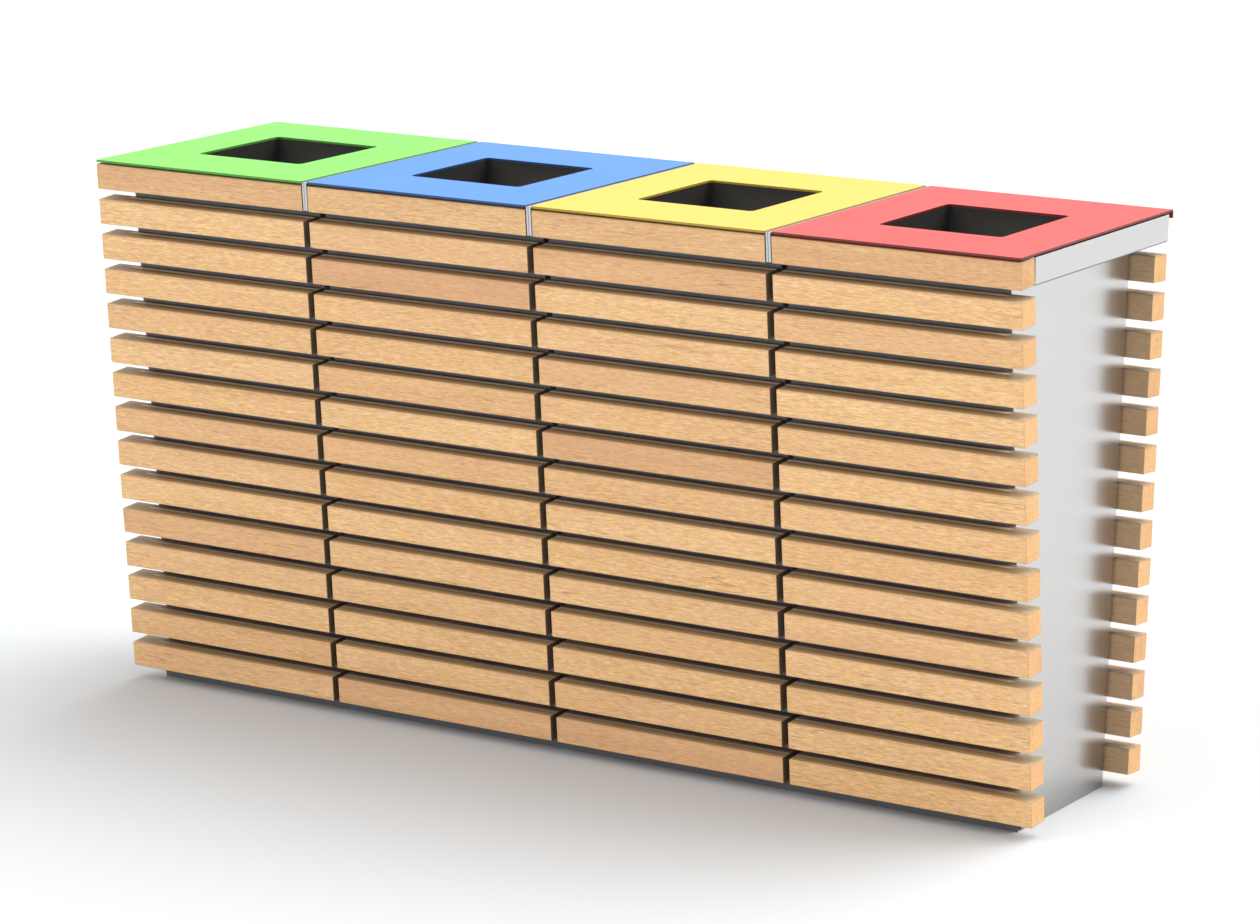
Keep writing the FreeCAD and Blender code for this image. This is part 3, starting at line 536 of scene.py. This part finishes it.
def face_frame(rear, x):
    """The cladding frame: Y inwards, Z up the inclined face, origin on the top slat's edge."""
    if rear:
        return Matrix.Rotation(math.pi, 4, "Z") @ face_frame(False, -x)
    corner = Matrix.Translation((x, -TOP_HALF_DEPTH, SLAT_TOP))
    return corner @ Matrix.Rotation(TAPER, 4, "X")


def sawn_place():
    """How a slat is turned in its log, and where its middle lies from the pith."""
    turn = random.choice((0, 1, 2, 3)) * math.pi / 2 + random.uniform(-0.35, 0.35)
    middle = Vector((random.uniform(-40, 40), random.uniform(0.05, 0.16),
                     random.uniform(-0.03, 0.03)))
    lean = random.uniform(-0.02, 0.02)
    return Matrix.Rotation(turn, 3, "X") @ Matrix.Rotation(lean, 3, "Z"), middle


def slat_shade():
    """How dark and how red a slat is among its neighbours."""
    tone = random.uniform(0, 1)
    if random.random() < USUAL_RED_SHARE:
        return tone, max(0.0, random.gauss(*USUAL_RED))
    return tone, random.uniform(*STRONG_RED)


def joint_faces(template, module, turned):
    """1.0 for each end face that stands in a joint between modules, 0.0 for the others."""
    hidden = [side for side, last in ((1, MODULES[-1]), (-1, MODULES[0])) if module != last]
    reach = SLAT_LENGTH / 2 - 0.0012
    return [float(any(face.calc_center_median().x * side * turned > reach for side in hidden))
            for face in template.faces]


def slats(name, node, rear, module, rows):
    """One module's slats on one face, as one piece, each slat sawn from its own log."""
    turned = -1 if rear else 1
    template = slat_template()
    points = [v.co.copy() for v in template.verts]
    faces = [[v.index for v in f.verts] for f in template.faces]
    in_joint = joint_faces(template, module, turned)
    template.free()
    place = face_frame(rear, module_x(module))
    slat_middle = Vector((0, SLAT_THICKNESS / 2, -SLAT_HEIGHT / 2))
    outer_side = {MODULES[0]: -1.0, MODULES[-1]: 1.0}.get(module, 0.0) * turned
    vertices, polygons, joints = [], [], []
    grain, local, tones, redness, sides = [], [], [], [], []
    for row in rows:
        lift = Matrix.Translation((0, 0, -row * SLAT_PITCH))
        spin, log_middle = sawn_place()
        tone, red = slat_shade()
        polygons += [[len(vertices) + k for k in face] for face in faces]
        joints += in_joint
        vertices += [place @ lift @ point for point in points]
        grain += [spin @ (point - slat_middle) + log_middle for point in points]
        local += points
        tones += [tone] * len(points)
        redness += [red] * len(points)
        sides += [outer_side] * len(points)
    mesh = bpy.data.meshes.new(name)
    mesh.from_pydata(vertices, [], polygons)
    mesh.validate()
    for field, vectors in (("grain", grain), ("local", local)):
        data = mesh.attributes.new(field, "FLOAT_VECTOR", "POINT").data
        data.foreach_set("vector", [part for vector in vectors for part in vector])
    for field, domain, values in (("joint", "FACE", joints), ("tone", "POINT", tones),
                                  ("redness", "POINT", redness), ("outer_side", "POINT", sides)):
        mesh.attributes.new(field, "FLOAT", domain).data.foreach_set("value", values)
    mesh.materials.append(WOOD)
    obj = bpy.data.objects.new(name, mesh)
    bpy.context.scene.collection.objects.link(obj)
    even_normals(obj)
    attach(obj, "cabinet")
    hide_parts(node)


for module in MODULES:
    slats("timber_fascia_%d" % module, "fascia_slat_%d" % module, False, module, range(0, 1))
    slats("timber_front_%d" % module, "front_slats_%d" % module, False, module, range(1, ROWS))
    slats("timber_rear_%d" % module, "rear_slats_%d" % module, True, module, range(1, ROWS))


# ---------------------------------------------------------------- soft edges on sheet metal

def soften(obj, width):
    """Broken edges on a CAD node that keeps its own mesh."""
    weld = obj.modifiers.new("weld", "WELD")
    weld.merge_threshold = 0.00001
    bevel = obj.modifiers.new("edges", "BEVEL")
    bevel.width = width
    bevel.segments = 2
    bevel.limit_method = "ANGLE"
    bevel.angle_limit = math.radians(40)
    obj.modifiers.new("even_normals", "WEIGHTED_NORMAL")


for name, node in nodes.items():
    if name.startswith(("lid_green", "lid_blue", "lid_yellow", "lid_red")):
        soften(node, LID_EDGE)
    if name.startswith("divider"):
        soften(node, DIVIDER_EDGE)


# ---------------------------------------------------------------- studio

FLOOR_REACH = 40.0
FLOOR_DROP = 0.0004
SKY_STRENGTHS = (0.60, 0.62)  # at the horizon and overhead
LEAST_SKY = 0.1
# Soft light areas: direction, cosine where one begins and is full, strength
SKY_LOBES = (
    ((0.55, -0.83, 0.05), 0.30, 0.95, -0.62),
    ((-0.60, -0.78, 0.22), 0.45, 1.00, 2.15),
    ((0.95, 0.25, 0.20), 0.50, 1.00, 0.75),
    ((0.34, 0.55, 0.78), 0.72, 1.00, 5.10),
    ((-0.53, 0.82, 0.22), 0.60, 1.00, 0.35),
)


def floor():
    """A wide pale floor just under the cabinet."""
    mesh = bpy.data.meshes.new("studio_floor")
    corners = [(FLOOR_REACH * x, FLOOR_REACH * y, -FLOOR_DROP)
               for x, y in ((-1, -1), (1, -1), (1, 1), (-1, 1))]
    mesh.from_pydata(corners, [], [(0, 1, 2, 3)])
    mesh.materials.append(floor_paint())
    obj = bpy.data.objects.new("studio_floor", mesh)
    bpy.context.scene.collection.objects.link(obj)


def sky():
    """A white sky, brighter and darker in a few soft areas."""
    world = bpy.data.worlds.new("studio")
    world.use_nodes = True
    tree = world.node_tree
    direction = add(tree, "TexCoord").outputs["Generated"]
    glow = span(tree, coordinate(tree, direction, 2), 0.0, 1.0, *SKY_STRENGTHS)
    for toward, low, high, amount in SKY_LOBES:
        toward = Vector(toward).normalized()
        node = add(tree, "VectorMath", {0: direction, 1: toward}, operation="DOT_PRODUCT")
        glow = calc(tree, "ADD", glow, span(tree, node.outputs["Value"], low, high, 0.0, amount))
    background = tree.nodes["Background"]
    background.inputs["Color"].default_value = (1.0, 1.0, 1.0, 1.0)
    tree.links.new(calc(tree, "MAXIMUM", glow, LEAST_SKY), background.inputs["Strength"])
    bpy.context.scene.world = world


CAMERA_PLACE = (4.3176, -6.5474, 2.2974)
CAMERA_ANGLES = (33.196, 12.939, 0.282)  # degrees: yaw, pitch down, roll
CAMERA_LENS = 128.2


def camera():
    """The photo's point of view, solved from the slat edges."""
    data = bpy.data.cameras.new("camera")
    data.sensor_fit = "HORIZONTAL"
    data.sensor_width = 36.0
    data.lens = CAMERA_LENS
    data.clip_end = 200.0
    eye = bpy.data.objects.new("camera", data)
    yaw, pitch, roll = (math.radians(angle) for angle in CAMERA_ANGLES)
    eye.matrix_world = (Matrix.Translation(CAMERA_PLACE)
                        @ Matrix.Rotation(yaw, 4, "Z")
                        @ Matrix.Rotation(math.pi / 2 - pitch, 4, "X")
                        @ Matrix.Rotation(-roll, 4, "Z"))
    bpy.context.scene.collection.objects.link(eye)
    bpy.context.scene.camera = eye


floor()
sky()
camera()
bpy.context.scene.view_settings.view_transform = "Standard"
bpy.context.scene.view_settings.look = "None"
